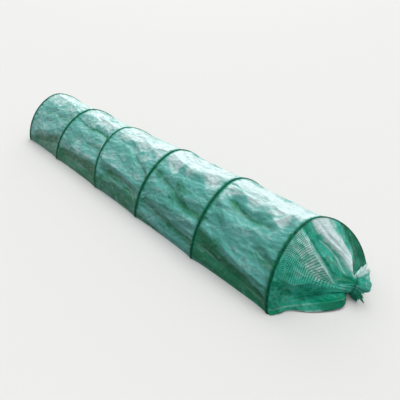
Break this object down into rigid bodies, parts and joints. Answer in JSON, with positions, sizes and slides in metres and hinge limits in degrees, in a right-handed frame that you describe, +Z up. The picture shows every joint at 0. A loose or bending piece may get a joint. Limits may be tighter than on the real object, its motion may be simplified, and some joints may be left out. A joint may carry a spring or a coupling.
{
  "type": "row cover tunnel",
  "caption": "Low garden tunnel of reinforced translucent film on arched wire hoops in sewn sleeves, gathered shut by a draw cord at each end; folds along its length.",
  "frame": {"origin": "centre of the footprint at the level of the leg tips, with the soil line 120 mm higher", "axes": "+X along the tunnel towards the near end, +Y across it to the side away from the camera, +Z up"},
  "size_m": [3.378, 0.6769, 0.4933],
  "materials": {
    "hoop_wire": "satin green coating over steel wire",
    "sleeve_fabric": "woven film tape, doubled",
    "cover_film": "translucent green film over a fine mesh scrim, soft gloss",
    "draw_cord": "braided cord"
  },
  "bodies": {
    "hoop_6": {"hoop_wire_6": "hoop_wire", "hoop_sleeve_6": "sleeve_fabric", "cover_bay_5": "cover_film", "end_skirt_near": "cover_film"},
    "hoop_5": {"hoop_wire_5": "hoop_wire", "hoop_sleeve_5": "sleeve_fabric", "cover_bay_4": "cover_film"},
    "hoop_4": {"hoop_wire_4": "hoop_wire", "hoop_sleeve_4": "sleeve_fabric", "cover_bay_3": "cover_film"},
    "hoop_3": {"hoop_wire_3": "hoop_wire", "hoop_sleeve_3": "sleeve_fabric", "cover_bay_2": "cover_film"},
    "hoop_2": {"hoop_wire_2": "hoop_wire", "hoop_sleeve_2": "sleeve_fabric", "cover_bay_1": "cover_film"},
    "hoop_1": {"hoop_wire_1": "hoop_wire", "hoop_sleeve_1": "sleeve_fabric", "end_skirt_far": "cover_film"},
    "near_gather": {"draw_cord_near": "draw_cord"},
    "far_gather": {"draw_cord_far": "draw_cord"}
  },
  "joints": [
    {"name": "bay_5_fold", "type": "slide", "parent": "hoop_6", "child": "hoop_5", "axis": [1, 0, 0], "range_m": [0, 0.49], "deforming": ["cover_bay_5"]},
    {"name": "bay_4_fold", "type": "slide", "parent": "hoop_5", "child": "hoop_4", "axis": [1, 0, 0], "range_m": [0, 0.505], "deforming": ["cover_bay_4"]},
    {"name": "bay_3_fold", "type": "slide", "parent": "hoop_4", "child": "hoop_3", "axis": [1, 0, 0], "range_m": [0, 0.455], "deforming": ["cover_bay_3"]},
    {"name": "bay_2_fold", "type": "slide", "parent": "hoop_3", "child": "hoop_2", "axis": [1, 0, 0], "range_m": [0, 0.515], "deforming": ["cover_bay_2"]},
    {"name": "bay_1_fold", "type": "slide", "parent": "hoop_2", "child": "hoop_1", "axis": [1, 0, 0], "range_m": [0, 0.55], "deforming": ["cover_bay_1"]},
    {"name": "near_end_draw", "type": "slide", "parent": "hoop_6", "child": "near_gather", "axis": [1, 0, 0], "range_m": [-0.07, 0.025], "deforming": ["end_skirt_near"]},
    {"name": "far_end_draw", "type": "slide", "parent": "hoop_1", "child": "far_gather", "axis": [-1, 0, 0], "range_m": [-0.07, 0.025], "deforming": ["end_skirt_far"]}
  ]
}
